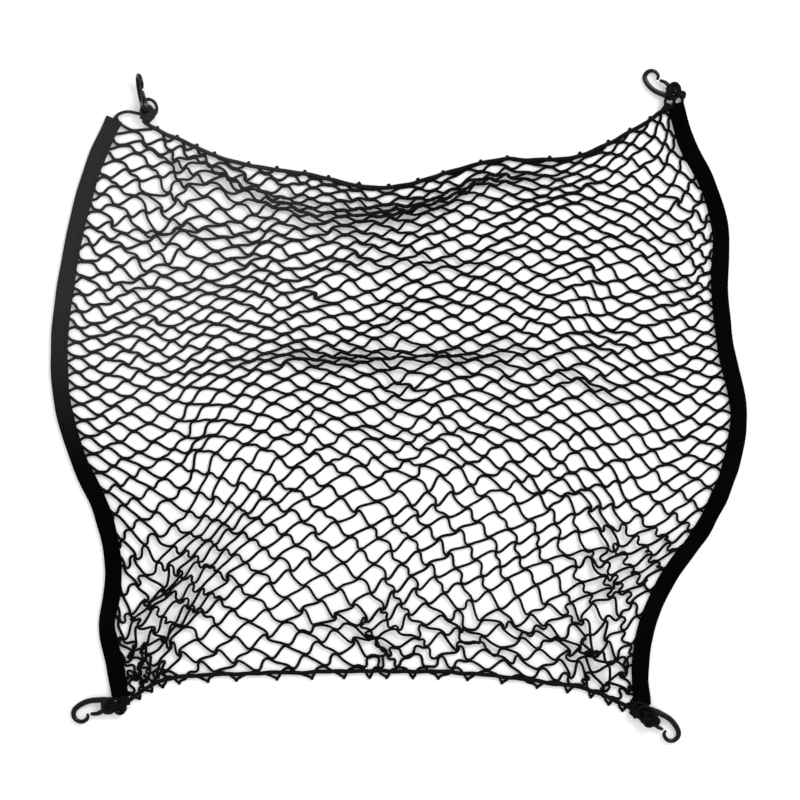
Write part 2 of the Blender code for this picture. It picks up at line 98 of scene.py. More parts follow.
# ---- The net: joints in half columns across and half rows down.
HALF_COLUMNS, HALF_ROWS = 42, 64
CORD_RADIUS = 1.45
CORD_SIDES = 6  # of the tubes, lumps and stitches
SEAM_IN_TAPE = 2.5  # the side joints lie this far from the tape's middle line, towards the net
SEAM_HEIGHT = 2.85  # and this high
TIP_OVER_TOP, TIP_UNDER_BOTTOM = 2.3, 6.2  # how far the edge tips reach past the draw cords
JOINT_LENGTH = 1.1  # from where two cords meet to where they part
TOP_FADE, BOTTOM_FADE = 9, 22  # the half rows over which the tips' places give way to even ones
JOINT_SPLAY = 0.82  # the share of their legs' own angle at which cords part
WIDEST_SPLAY = 0.72  # at most this angle, in radians
TIP_SPLAY = 0.85  # the angle in radians at which they part where they turn over a draw cord
SIDE_BY_SIDE = 0.7  # each cord's middle lies this far from the joint's middle line
ONE_OVER_OTHER = 0.4  # and this far above or below it
LUMP_PAST_ENDS, LUMP_WIDTH, LUMP_HEIGHT = 2.8, 4.4, 3.8  # of the knitted lump at a joint
LEG_POINTS = 7  # on the middle line of a leg, between its joints
LEG_PIECES = 10  # a leg and a joint together, in the tubes
MESH_LEG = 21.8  # from the middle of a joint to the middle of the next one
LENGTH_SPREAD = 0.02  # how much the legs' lengths differ
TAUT = 0.985  # the share of its length that a leg can reach
BOW = 0.045  # how much longer a leg is seen to be than it reaches: the rest stands off the floor
LOWER_BOW = 0.14  # the same where the net lies least evenly
TIP_BOW = 0.1  # at most this much where it turns over a draw cord
BULGE_TOGETHER, BULGE_ALONE = 0.7, 0.2  # how much of its slack a leg shows aside
LEG_LIFT = 0.5  # how far the legs' middles stand up
LEAST_ROUGH = 0.3  # how unevenly the upper net lies, where the lower net's is 1
HORNS = 0.08  # the share of the lower net's joints that lie twisted
WIDE_SPAN, FINE_SPAN, LEAN_SPAN = 55.0, 24.0, 45.0  # between places that wander on their own
OWN_STRAY = 1.3  # how far each crowded joint strays on its own
FLOOR_GAP = 0.3  # between the net's joints and the floor
CORDS_APART = 2.5  # from one cord's middle to that of a cord that it crosses
SAME_MESH = 1.01  # points this near in the lattice belong to cords that may touch
LATTICE_LEVEL = (1.0, 7.3)  # sets which of two cords rides on top, by how far on they are
LOWEST, HIGHEST = CORD_RADIUS + 0.1, 16.0  # for the middles of the cords
MOST_PUSH = 0.6  # up or down in one round
# How many rounds of small moves settle the joints, the legs' lengths and the crossings.
REACH_ROUNDS, LENGTH_ROUNDS, MENDS, RIDE_ROUNDS = 60, 150, 4, 30
SEED = 5

# Where the edge meshes' tips lie along the draw cords, from the left tape to the right one.
TOP_TIPS = (-284, -240, -217, -195, -176, -142, -115, -89, -67, -39, -12, 15, 39, 76, 102, 142,
            172, 203, 227, 250, 265, 276)
BOTTOM_TIPS = (-275, -258, -241, -223, -194, -171, -138, -102, -76, -47, -25, -9, 15, 37, 62,
               92, 123, 153, 177, 200, 217, 236)

# How high each row of joints lies, from the left tape to the right one.
Row = namedtuple("Row", "row left inner_left middle inner_right right")
NET_LEVELS = (
    Row(6, 200, 182, 184, 197, 185), Row(13, 90, 93, 97, 98, 82), Row(19, 4, 15, 15, 10, -5),
    Row(25, -100, -88, -84, -100, -126),
)

# Where meshes are crowded together: the joint at the middle, how many joints it reaches across
# and down, how much denser they lie there, how high they stand, how far their joints twist and
# how much longer their legs are than they reach.
Crowd = namedtuple("Crowd", "column row columns rows across down height twist bow")
NET_CROWDS = {
    "low on the left": Crowd(4, 56.5, 6, 7, 0.45, 0.5, 6, 0.8, 1.2),
    "left corner": Crowd(5, 61, 4.5, 4, 0.7, 0.6, 5, 0.9, 1.2),
    "low on the right": Crowd(38, 49.5, 4.5, 4.2, 0.2, 0.65, 7, 0.9, 1.2),
    "below that one": Crowd(38.5, 59, 4.5, 4.5, 0.3, 0.1, 5, 0.6, 0.8),
    "right corner": Crowd(38.5, 62, 4.5, 3.5, 0.4, 0.4, 5, 0.8, 1),
    "low in the middle": Crowd(20.5, 60, 3, 4.5, 0.2, 0.3, 4, 0.7, 0.8),
    "low right of the middle": Crowd(30, 59, 7, 4.5, 0.15, 0.3, 3, 0.6, 0.6),
    "along the bottom": Crowd(21, 63, 30, 6, 0, 0.25, 3, 0.3, 0.35),
    "right side": Crowd(41, 14, 3, 8, 0.5, 0, 5, 0.25, 0.15),
    "upper left": Crowd(5, 11, 8, 11, 0, 0, 2, 0.4, 0),
    "along the cross fold": Crowd(20, 32, 9, 3, 0, 0.5, 1, 0, 0),
}

# Where the net is gathered into a fold: its middle, its direction in degrees, how far it reaches
# along and across, what share of the meshes' height it takes away, how high it stands and how
# far its joints twist.
Fold = namedtuple("Fold", "x y turn half_length half_width squeeze height twist")
NET_FOLDS = {
    "band below the top cord": Fold(-160, 228, -24, 100, 19, 0.78, 5, 0.1),
    "bunch under the swag": Fold(-15, 197, 3, 50, 15, 0.72, 5.5, 0.1),
    "band right of the swag": Fold(90, 228, 17, 75, 15, 0.68, 4, 0.1),
    "patch below the bunch": Fold(21, 148, 2, 70, 9, 0.65, 4, 0.1),
    "long cross fold": Fold(16, 54, 1, 120, 10, 0.70, 5, 0.1),
    "crease down the middle": Fold(-2, 50, 92, 60, 10, 0.65, 3, 0.4),
    "crease right of the middle": Fold(104, 45, 88, 60, 9, 0.50, 2, 0.2),
    "tuck right of the middle": Fold(181, 31, -20, 32, 12, 0.70, 5, 0.5),
    "pleat low on the left": Fold(-231, -174, -75, 38, 19, 0.90, 7, 0.4),
    "pleat away from its foot": Fold(-195, -178, 40, 28, 12, 0.50, 5, 0.3),
    "pleat above that one": Fold(-208, -119, -76, 26, 11, 0.75, 5, 0.4),
    "pleat low on the right": Fold(218, -175, -47, 32, 19, 0.88, 7, 0.5),
    "fold down from that pleat": Fold(201, -235, 88, 40, 12, 0.70, 5, 0.3),
    "fold beside that one": Fold(229, -245, 86, 40, 10, 0.60, 5, 0.3),
    "bunch at the upper right": Fold(286, 232, -65, 50, 9, 0.40, 4, 0.3),
}

# ---- The tapes, in cross section: x towards the net, y upwards.
TAPE_HALF = 8.5
TAPE_THICK = 5.5
TAPE_PLY = 0.95
LIP_EDGE = 0.3  # how far each ply's edge is rounded
TAPE_STATIONS = 260
TAPE_WIDER, TAPE_THICKER = 0.22, 0.02  # how much a tape's width and thickness wander
TAPE_SPAN, DRAW_CORD_SPAN = 26.0, 20.0  # between places that wander on their own
STITCH_PITCH, STITCH_LENGTH, STITCH_WIDTH, STITCH_HEIGHT = 4.2, 3.3, 0.75, 0.7
STITCH_LINE = 5.4  # from the tape's middle line, towards the net
STITCH_MARGIN = 3.0  # left free at the tape's ends

DRAW_CORD_RADIUS = 2.1
DRAW_CORD_HEIGHT = 3.5
DRAW_CORD_STATIONS = 420
DRAW_CORD_STRAY, DRAW_CORD_RIPPLE = 0.35, 0.25  # how far it wanders aside, and up and down

# Where the painted glare on the cords and tapes is brightest, and how far from there it begins to
# fade and is gone.
GLARE_BRIGHTEST = (-300.0, 240.0, 0.0)
GLARE_FULL, GLARE_GONE = 120, 330

# ---- The hooks and knots.
Lie = namedtuple("Lie", "x y z turn pitch roll")  # the angles in degrees
HOOK_LIES = {
    "top_left": Lie(-253.3, 301.5, 11.2, 103.3, 0, 105),
    "top_right": Lie(274.3, 318.5, 7.2, 158, 6.8, 180),
    "bottom_left": Lie(-289.5, -297, 7.2, 183.5, 6.8, 0),
    "bottom_right": Lie(250, -306, 7.2, -28, 6.8, 180),
}
HOOK_THICKNESS = 6.0
HOOK_BODY = {"back": -5.8, "front": 7.2, "shank_side": -9.5, "mouth_side": 6.3}
BLOCK_POINTS, BLOCK_SQUARENESS = 48, 2.8
# From one face of the block to the other, in half thicknesses, how far in its rounded side lies.
BLOCK_SIDE = ((-1, 1.0), (-0.86, 0.35), (-0.6, 0.05), (0, 0), (0.6, 0.05), (0.86, 0.35), (1, 1.0))
HOOK_EYE = Vector((-1.8, -1.4, 0.0))
HOOK_EYE_RADIUS = 2.3
SHANK_START = Vector((2.7, -7.2, 0.0))
SHANK_RADIUS = 2.7
Run = namedtuple("Run", "length bend_radius turn steps end_radius")
HOOK_RUNS = {
    "straight shank": Run(10.0, 0, 0, 4, 2.7),
    "sweep": Run(0, 27.0, 40, 12, 2.5),
    "crook": Run(0, 6.9, 185, 30, 1.8),
    "point": Run(0, 4.0, 60, 8, 1.5),
}
TONGUE_ROUTE = (Vector((3.4, 1.8, 0)), Vector((5.4, 2.4, 0)), Vector((8.5, 4.1, 0)),
                Vector((12.0, 5.0, 0)), Vector((15.8, 4.9, 0)))
TONGUE_RADII = (2.3, 2.2, 2.1, 1.9, 1.7)
TONGUE_STATIONS = 14
ROUNDED_END = ((0.45, 0.9), (0.8, 0.6), (0.98, 0.2))  # how far past a tube's end, and how wide
# The lower hooks look a little larger in the picture than the upper ones.
HOOK_SIZES = {"bottom_left": 1.12, "bottom_right": 1.08}
VOXEL = 0.34  # of the mesh in which a hook's parts grow together

# The knots' lumps: their half sizes, and how far behind the hook's origin their middles lie.
Lump = namedtuple("Lump", "along across up behind")
KNOT_LUMPS = {
    "top_left": Lump(5.2, 8.6, 6, 8.6),
    "top_right": Lump(4, 4.8, 4.6, 9.4),
    "bottom_left": Lump(5.6, 7, 5.8, 12.2),
    "bottom_right": Lump(5.6, 7.4, 5.8, 12.2),
}
KNOT_CORD_RADIUS, KNOT_CORD_SIDES = 1.6, 10
# Loose turns of cord round the hook's body, and smaller ties beside the knot: where they lie,
# their half sizes, how they are turned and how far one side of a turn stands up, in degrees.
Ring = namedtuple("Ring", "x y z long wide turn lean")
KNOT_RINGS = {
    "top_left": (Ring(-248.5, 302, 7, 8.5, 6.8, 95, 14), Ring(-251, 297, 8, 6.2, 8, 60, 28)),
    "top_right": (Ring(274, 318, 12, 8, 6.2, 62, 6), Ring(270, 308, 9, 6.5, 4.6, 70, 12)),
    "bottom_left": (Ring(-284, -293, 11.5, 8, 5, 8, 6), Ring(-279, -297, 9, 5.5, 6.5, 30, 20)),
    "bottom_right": (Ring(246, -303, 12, 9, 7, -30, 6), Ring(239, -299, 8, 6, 7.5, 20, 20),
                     Ring(250, -309, 12.5, 6, 6.5, 10, 4)),
}
Tie = namedtuple("Tie", "x y z along across up turn turns")
KNOT_TIES = {
    "top_left": (Tie(-251, 296, 6.5, 5.6, 9.6, 6, 100, 5),),
    "top_right": (Tie(266.5, 301, 5.5, 6.5, 4.4, 5, 60, 4),
                  Tie(270, 317, 9, 8.5, 4.6, 5, 88, 5)),
    "bottom_left": (Tie(-273.5, -291, 5.5, 5.5, 6, 5.5, 30, 4),
                    Tie(-286, -296, 9, 8.5, 6, 6, 5, 5)),
    "bottom_right": (Tie(236, -302, 6.5, 6.5, 6.5, 6, -40, 4),
                     Tie(250.5, -309.5, 7.5, 11, 6.6, 6.5, -14, 7),
                     Tie(246.5, -298, 6, 6.5, 5.5, 5.5, -60, 4)),
}
# Each cord's end from its knot into the tape's slot.
TAIL_ROUTES = {
    "top_left": bends((-262, 296.5), (-272.5, 298), (-281, 295), (-287, 285), (-290.5, 276)),
    "top_right": bends((282.7, 306.8), (278, 299.5), (279.5, 290)),
    "bottom_left": bends((-278, -289), (-278, -281), (-279.5, -272)),
    "bottom_right": bends((240, -293), (239.5, -286), (239.2, -277)),
}
TAIL_HEIGHT = 2.7


# ---- curves
def cubic(t, span, start, end, leaving, arriving):
    """Values at shares of a span, on the curve between two values with these slopes at them."""
    return (
        (2 * t**3 - 3 * t**2 + 1) * start
        + (t**3 - 2 * t**2 + t) * span * leaving
        + (3 * t**2 - 2 * t**3) * end
        + (t**3 - t**2) * span * arriving
    )


def spans_at(places, at):
    """Which span between places each value is in, the span's length and the share along it."""
    k = np.clip(np.searchsorted(places, at, side="right") - 1, 0, len(places) - 2)
    span = places[k + 1] - places[k]
    return k, span, (at - places[k]) / span


def through(places, values, at):
    """The smooth curve with these values at these places, at several places."""
    places, values = np.asarray(places, float), np.asarray(values, float)
    slopes = np.gradient(values, places, axis=0)
    k, span, t = spans_at(places, np.clip(at, places[0], places[-1]))
    if values.ndim > 1:
        span, t = span[:, None], t[:, None]
    return cubic(t, span, values[k], values[k + 1], slopes[k], slopes[k + 1])


def distances(points):
    """How far along a line each of its points lies."""
    return np.r_[0, np.cumsum(np.linalg.norm(np.diff(points, axis=0), axis=1))]


def smooth_line(points, count):
    """That many evenly spaced points along the smooth curve through these."""
    points = np.asarray(points, float)
    along = distances(points)
    return through(along, points, np.linspace(0, along[-1], count))


def height_at(route, x):
    """How high a route from the left to the right lies at x."""
    return through([b.x for b in route], [b.y for b in route], x)


def side_at(line, y):
    """How far to the right a line from the top to the bottom lies at y."""
    return through([-b.y for b in line], [b.x for b in line], -y)


def ease(low, high, value):
    """From 0 at low to 1 at high, smoothly."""
    t = np.clip((value - low) / (high - low), 0.0, 1.0)
    return t * t * (3 - 2 * t)


# ---- meshes
def unit(vectors):
    """The vectors made one long."""
    return vectors / np.maximum(np.linalg.norm(vectors, axis=-1, keepdims=True), 1e-9)


def frames(points):
    """Two normals at each point of a line, which turn along it without twisting."""
    tangents = unit(np.gradient(points, axis=0))
    first = np.cross(tangents[0], (0.0, 0.0, 1.0))
    if np.linalg.norm(first) < 0.05:
        first = np.cross(tangents[0], (0.0, 1.0, 0.0))
    normals = [unit(first)]
    for tangent in tangents[1:]:
        normals.append(unit(normals[-1] - tangent * normals[-1].dot(tangent)))
    normals = np.array(normals)
    return normals, np.cross(tangents, normals)


def circle(sides):
    angles = 2 * math.pi * np.arange(sides) / sides
    return np.cos(angles), np.sin(angles)


def tube_rings(points, radii, sides):
    """Rings of points round a line, and how far along it each ring lies."""
    points = np.asarray(points, float)
    radii = np.broadcast_to(np.asarray(radii, float), (len(points),))
    (side, up), (c, s) = frames(points), circle(sides)
    rings = points[:, None] + radii[:, None, None] * (
        side[:, None] * c[None, :, None] + up[:, None] * s[None, :, None]
    )
    return rings, distances(points)


class Weave:
    """Collects closed tubes into one mesh, with how far along and around each face corner is."""

    def __init__(self):
        self.points, self.faces, self.maps = [], [], []
        self.count = 0

    def add_rings(self, rings, along, around):
        """A closed tube from its rings, and how far along and around it their points are."""
        steps, sides, _ = rings.shape
        base, middle = self.count, self.count + steps * sides
        ends = np.array([rings[0].mean(axis=0), rings[-1].mean(axis=0)])
        self.points += [rings.reshape(-1, 3), ends]
        self.count = middle + 2
        around = np.r_[0, around]
        for step in range(steps - 1):
            for side in range(sides):
                a, b = (base + step * sides + k % sides for k in (side, side + 1))
                self.faces.append((a, b, b + sides, a + sides))
                low, high = along[step], along[step + 1]
                left, right = around[side], around[side + 1]
                self.maps += [(left, low), (right, low), (right, high), (left, high)]
        for step in (0, steps - 1):
            for side in range(sides):
                a, b = (base + step * sides + k % sides for k in (side, side + 1))
                self.faces.append((a, b, middle + 1) if step else (b, a, middle))
                self.maps += [(around[side], along[step])] * 3

    def add_tube(self, points, radii, sides):
        rings, along = tube_rings(points, radii, sides)
        size = 2 * math.pi * float(np.mean(radii))
        self.add_rings(rings, along, size * (np.arange(sides) + 1) / sides)

    def build(self, name):
        points = (np.concatenate(self.points) - FOOTPRINT_MIDDLE) * MM
        mesh = bpy.data.meshes.new(name)
        mesh.from_pydata(points.tolist(), [], self.faces)
        layer = mesh.uv_layers.new(name="length")
        layer.data.foreach_set("uv", (np.array(self.maps) * MM).astype(np.float32).ravel())
        mesh.shade_smooth()
        return link(bpy.data.objects.new(name, mesh))


def link(obj):
    bpy.context.scene.collection.objects.link(obj)
    return obj


def add_capsule(weave, middle, axis, length, width, height, map_half, map_around):
    """A rounded lump along an axis, its map this long from its middle and this far around."""
    rings = 5
    axis = unit(np.asarray(axis, float))
    side = unit(np.cross((0.0, 0.0, 1.0), axis))
    up = np.cross(axis, side)
    t = np.cos(math.pi * (np.arange(rings) + 0.5) / rings)[::-1]
    fill, (c, s) = np.sqrt(1 - t**2), circle(CORD_SIDES)
    ring = side * c[:, None] * width / 2 + up * s[:, None] * height / 2
    lump = middle + t[:, None, None] * axis * length / 2 + fill[:, None, None] * ring[None]
    weave.add_rings(lump, t * map_half, map_around * (np.arange(CORD_SIDES) + 1) / CORD_SIDES)


# ---- the net's lay
class Waves:
    """A smooth wandering over the net, from seeded plane waves."""

    def __init__(self, rng, span):
        count = 14
        turn = rng.uniform(0, 2 * math.pi, count)
        size = rng.uniform(0.6, 1.5, count) * 2 * math.pi / (1.6 * span)
        self.kx, self.ky = size * np.cos(turn), size * np.sin(turn)
        self.phase = rng.uniform(0, 2 * math.pi, count)

    def __call__(self, x, y):
        waves = np.sin(np.multiply.outer(x, self.kx) + np.multiply.outer(y, self.ky) + self.phase)
        return waves.sum(axis=-1) * math.sqrt(2 / len(self.phase))


def row_height(row, share, top, bottom):
    """How high rows lie at a share of the way from the left tape to the right one."""
    stations = (0.0, 0.25, 0.5, 0.75, 1.0)
    levels = [through(stations, level[1:], share) for level in NET_LEVELS]
    rows = np.array([0, *[level.row for level in NET_LEVELS], HALF_ROWS / 2])
    heights = np.array([top, *levels, bottom])
    slopes = np.gradient(heights, rows, axis=0)
    k, span, t = spans_at(rows, row)
    low, high = (k, np.arange(len(share))), (k + 1, np.arange(len(share)))
    return cubic(t, span, heights[low], heights[high], slopes[low], slopes[high])


def across_share(column, row):
    """How far across each joint lies: even in the middle, at the tips along the draw cords."""
    places = np.arange(0, HALF_COLUMNS + 1, 2)

    def at_tips(tips):
        return (through(places, tips, column) - tips[0]) / (tips[-1] - tips[0])

    top, bottom = 1 - ease(0, TOP_FADE, row), ease(HALF_ROWS - BOTTOM_FADE, HALF_ROWS, row)
    even = column / HALF_COLUMNS
    return even + top * (at_tips(TOP_TIPS) - even) + bottom * (at_tips(BOTTOM_TIPS) - even)


def crowd_nearness(column, row, crowd):
    """How much of a crowd each joint has: 1 at its middle, hardly any beyond its reach."""
    away = ((column - crowd.column) / crowd.columns) ** 2 + ((row - crowd.row) / crowd.rows) ** 2
    return np.exp(-(away**2))


def crowding():
    """How far on each joint of the whole lattice lies, across and down, once some are crowded."""
    column, row = np.meshgrid(np.arange(HALF_COLUMNS + 1.0), np.arange(HALF_ROWS + 1.0),
                              indexing="ij")
    across, down = np.ones_like(column), np.ones_like(row)
    for crowd in NET_CROWDS.values():
        near = crowd_nearness(column, row, crowd)
        across += crowd.across * near
        down += crowd.down * near
    steps = []
    for axis, dense, last in ((0, across, HALF_COLUMNS), (1, down, HALF_ROWS)):
        gap = 1 / dense
        gap = (np.take(gap, range(last), axis) + np.take(gap, range(1, last + 1), axis)) / 2
        lay = np.concatenate([np.zeros_like(np.take(gap, [0], axis)), np.cumsum(gap, axis)], axis)
        steps.append(lay / np.take(lay, [last], axis) * last)
    return steps


def even_place(column, row):
    """Where joints lie before folds and strays."""
    across, down = crowding()
    i, j = column.astype(int), row.astype(int)
    share = across_share(across[i, j], row)
    row = down[i, j]
    left, right = -300.0, 300.0
    for _ in range(4):  # until the height and the tapes' places at that height agree
        x = left + share * (right - left)
        top = height_at(TOP_CORD_ROUTE, x) + TIP_OVER_TOP
        bottom = height_at(BOTTOM_CORD_ROUTE, x) - TIP_UNDER_BOTTOM
        y = row_height(row / 2, share, top, bottom)
        left = side_at(LEFT_TAPE_LINE, y) + SEAM_IN_TAPE
        right = side_at(RIGHT_TAPE_LINE, y) - SEAM_IN_TAPE
    return x, y


def fold_pull(x, y):
    """How far the folds move points of the net, how high they lift them and how they twist."""
    moved_x, moved_y, lifted, twisted = np.zeros((4, len(x)))
    for fold in NET_FOLDS.values():
        c, s = math.cos(math.radians(fold.turn)), math.sin(math.radians(fold.turn))
        along = (x - fold.x) * c + (y - fold.y) * s
        across = -(x - fold.x) * s + (y - fold.y) * c
        near = np.exp(-((along / fold.half_length) ** 2) - (across / fold.half_width) ** 2)
        moved_x += s * fold.squeeze * across * near
        moved_y -= c * fold.squeeze * across * near
        lifted += fold.height * near
        twisted += fold.twist * near
    return moved_x, moved_y, lifted, twisted


# Every point, the number of each joint, the inner points of each leg, the way across each joint.
Net = namedtuple("Net", "points joints legs beside")


def joint_places(lattice, rng):
    """Where the joints' middles lie, how far each is twisted, how its legs bow, which are held."""
    column, row = lattice.T
    x, y = even_place(column, row)
    to_side = np.minimum(column, HALF_COLUMNS - column)
    to_edge = np.minimum(to_side, np.minimum(row, HALF_ROWS - row))
    free = ease(0, 4, to_edge)
    moved_x, moved_y, lifted, twisted = fold_pull(x, y)
    wide, fine = [[Waves(rng, span) for _ in range(3)] for span in (WIDE_SPAN, FINE_SPAN)]
    own = rng.normal(0, OWN_STRAY, (2, len(x)))
    # The lower net lies less evenly, and so does the net's upper left corner.
    rough = LEAST_ROUGH + (1 - LEAST_ROUGH) * ease(0.58, 0.78, row / HALF_ROWS)
    rough = np.maximum(rough, 0.7 * ease(0.6, 0.25, column / HALF_COLUMNS + row / HALF_ROWS))
    near = [(crowd_nearness(column, row, crowd), crowd) for crowd in NET_CROWDS.values()]
    curl = sum(n * crowd.twist for n, crowd in near)
    lifted += sum(n * crowd.height for n, crowd in near) * rng.random(len(x))
    # Joints twist with wide waves, with fine ones and each on its own, and a few far more.
    twist = (0.2 + 0.8 * rough + twisted + 0.7 * curl) * wide[2](x, y) * 0.5
    twist += (0.2 * rough + 0.6 * (twisted + curl)) * fine[2](x, y)
    twist += (0.2 * rough + 0.15 * (twisted + curl)) * rng.normal(0, 1, len(x))
    twist += (rng.random(len(x)) < HORNS * rough) * rng.normal(0, 1.0, len(x))
    stray_x, stray_y = (
        (1.2 + 1.3 * rough) * wide[k](x, y) + (rough + curl) * (2.0 * fine[k](x, y) + own[k])
        for k in range(2)
    )
    crumpled = np.max([n * crowd.bow for n, crowd in near], axis=0)
    unevenly = (rough - LEAST_ROUGH) / (1 - LEAST_ROUGH)
    bow = np.maximum(BOW + (LOWER_BOW - BOW) * unevenly, crumpled)
    lying = CORD_RADIUS + FLOOR_GAP + ease(1, 5, to_edge) * lifted
    z = np.where(to_side == 0, SEAM_HEIGHT, lying)
    middle = np.stack([x + free * (moved_x + stray_x), y + free * (moved_y + stray_y), z], axis=1)
    held = (to_side == 0) | (row == 0) | (row == HALF_ROWS)
    return middle, twist * ease(0, 2, to_edge), bow, held


def within_reach(middle, firsts, seconds, reach, held):
    """The joints drawn together where the cord between two of them is too short."""
    count, loose = len(middle), np.where(held, 0.0, 1.0)[:, None]
    for _ in range(REACH_ROUNDS):
        leg = middle[seconds] - middle[firsts]
        size = np.linalg.norm(leg, axis=1)
        # A quarter of what is missing at each end of a leg, as a joint can have four legs.
        over = (np.maximum(0, size - reach) / size * 0.25)[:, None] * leg
        middle = middle + loose * (gathered(firsts, over, count) - gathered(seconds, over, count))
    return middle


def gathered(where, moves, count):
    """The sum of moves at each point."""
    return np.stack(
        [np.bincount(where, weights=moves[:, axis], minlength=count) for axis in range(3)], axis=1
    )


def turned(directions, angles):
    """Level directions turned by angles in radians."""
    c, s = np.cos(angles), np.sin(angles)
    x, y = directions[:, 0], directions[:, 1]
    return np.stack([c * x - s * y, s * x + c * y, 0 * x], axis=1)


def bows(start, end, leave, arrive, pull, shares):
    """Points on the curves that leave and arrive in these directions, with the ends left out."""
    pulls = [(pull[:, None] * way)[:, None] for way in (leave, arrive)]
    return cubic(shares[None, :, None], 1.0, start[:, None], end[:, None], *pulls)


def smoothed_to_length(start, end, leave, arrive, made, lengths):
    """The legs' inner points once each has its length, its ends clamped, and bends evenly."""
    line = np.concatenate([start[:, None], made, end[:, None]], axis=1)
    piece = (lengths / (made.shape[1] + 1))[:, None]
    evening, clamping, mending = 0.35, 0.25, 0.4  # how much of the way each round goes
    for _ in range(LENGTH_ROUNDS):
        bend = (line[:, 2:] + line[:, :-2]) / 2 - line[:, 1:-1]
        move = np.zeros_like(line)
        move[:, 1:-1] += bend
        move[:, 2:] -= bend / 2
        move[:, :-2] -= bend / 2
        line[:, 1:-1] += evening * move[:, 1:-1]
        line[:, 1] += clamping * (start + leave * piece - line[:, 1])
        line[:, -2] += clamping * (end - arrive * piece - line[:, -2])
        for _ in range(MENDS):
            step = np.diff(line, axis=1)
            size = np.linalg.norm(step, axis=2, keepdims=True)
            mend = mending * (size - piece[..., None]) / np.maximum(size, 1e-6) * step
            line[:, 1:-1] += mend[:, 1:] - mend[:, :-1]
    return line[:, 1:-1]


def opening(leg, axis, firsts, seconds):
    """The mean angle between each joint's legs and the line through the joint."""
    found, legs = 0, 0
    for ends in (firsts, seconds):
        angle = np.arccos(np.clip((leg * axis[ends]).sum(axis=1), -1, 1))
        found = found + np.bincount(ends, weights=angle, minlength=len(axis))
        legs = legs + np.bincount(ends, minlength=len(axis))
    return found / legs


def leg_points(start, end, leave, arrive, lengths, bow, shares, rng):
    """The legs' inner points. A leg that is longer than its reach bows and bulges aside."""
    reach = np.linalg.norm(end - start, axis=1)
    lengths = np.minimum(np.maximum(lengths - JOINT_LENGTH, reach), (1 + bow) * reach)
    made = bows(start, end, leave, arrive, lengths, shares)
    aside = unit(np.cross(end - start, (0.0, 0.0, 1.0)))
    slack = np.sqrt(np.maximum(lengths / reach - 1, 0)) * reach
    # Where meshes are crowded the legs bulge together, one way here and another way there.
    where, lean = (start + end) / 2, [Waves(rng, LEAN_SPAN) for _ in range(2)]
    bulge = np.stack([wave(where[:, 0], where[:, 1]) for wave in lean], axis=1)
    bulge = (unit(bulge) * aside[:, :2]).sum(axis=1) * ease(0.2, 0.8, bow)
    slack *= BULGE_TOGETHER * bulge + rng.normal(0, BULGE_ALONE, len(bow))
    rise = np.sin(math.pi * shares)
    made += (slack[:, None] * aside)[:, None] * rise[:, None]
    made = smoothed_to_length(start, end, leave, arrive, made, lengths)
    made[:, :, 2] += np.abs(rng.normal(0, LEG_LIFT, len(bow)))[:, None] * rise
    return made


def laid_net(rng):
    """The net as it lies. A joint is two points, where the cords meet and where they part."""
    joints = {}
    for column in range(HALF_COLUMNS + 1):
        for row in range(column % 2, HALF_ROWS + 1, 2):
            joints[column, row] = len(joints)
    places = np.array(list(joints), float)
    middle, twist, bow, held = joint_places(places, rng)
    keys = [(i, j, down) for i, j in joints for down in (-1, 1) if (i + 1, j + down) in joints]
    firsts = np.array([joints[i, j] for i, j, _ in keys])
    seconds = np.array([joints[i + 1, j + down] for i, j, down in keys])
    lengths = MESH_LEG * (1 + rng.normal(0, LENGTH_SPREAD, len(keys)))
    middle = within_reach(middle, firsts, seconds, TAUT * lengths, held)
    leg = unit((middle[seconds] - middle[firsts]) * (1, 1, 0))
    axis = unit(gathered(firsts, leg, len(joints)) + gathered(seconds, leg, len(joints)))
    splay = np.minimum(JOINT_SPLAY * opening(leg, axis, firsts, seconds), WIDEST_SPLAY)
    at_tip = places[:, 1] % HALF_ROWS == 0
    splay = np.where(at_tip, TIP_SPLAY, splay)
    axis = turned(axis, twist)
    half = JOINT_LENGTH / 2 * axis
    ends = np.stack([middle - half, middle + half], axis=1).reshape(-1, 3)
    way = -np.array(keys)[:, 2]
    leave = turned(axis[firsts], way * splay[firsts])
    arrive = turned(axis[seconds], way * splay[seconds])
    bow = np.minimum(bow[firsts], np.where(at_tip[firsts] | at_tip[seconds], TIP_BOW, np.inf))
    shares = (np.arange(LEG_POINTS) + 1) / (LEG_POINTS + 1)
    made = leg_points(ends[2 * firsts + 1], ends[2 * seconds], leave, arrive, lengths, bow,
                      shares, rng)
    spots = places[firsts][:, None] + shares[:, None] * (places[seconds] - places[firsts])[:, None]
    lattice = np.r_[np.repeat(places, 2, axis=0), spots.reshape(-1, 2)]
    inner = len(ends) + np.arange(len(keys) * LEG_POINTS).reshape(-1, LEG_POINTS)
    chains = np.c_[2 * firsts + 1, inner, 2 * seconds]
    points = ridden_over(np.r_[ends, made.reshape(-1, 3)], lattice, chains)
    beside = np.stack([-axis[:, 1], axis[:, 0], 0 * axis[:, 0]], axis=1)
    return Net(points, joints, dict(zip(keys, inner)), beside)


def near_pairs(points, apart):
    """Pairs of points in the same or in neighbouring squares of a grid."""
    column_step = 100003  # more squares than there are in a column
    key = np.floor(points[:, :2] / apart).astype(np.int64) @ (column_step, 1)
    order = np.argsort(key, kind="stable")
    ordered = key[order]
    firsts, seconds = [], []
    for across, down in ((0, 0), (1, 0), (0, 1), (1, 1), (1, -1)):
        target = key + across * column_step + down
        low = np.searchsorted(ordered, target, "left")
        many = np.searchsorted(ordered, target, "right") - low
        first = np.repeat(np.arange(len(points)), many)
        step = np.arange(len(first)) - np.repeat(np.cumsum(many) - many, many)
        second = order[step + np.repeat(low, many)]
        if across == 0 and down == 0:
            first, second = first[first < second], second[first < second]
        firsts.append(first)
        seconds.append(second)
    return np.concatenate(firsts), np.concatenate(seconds)


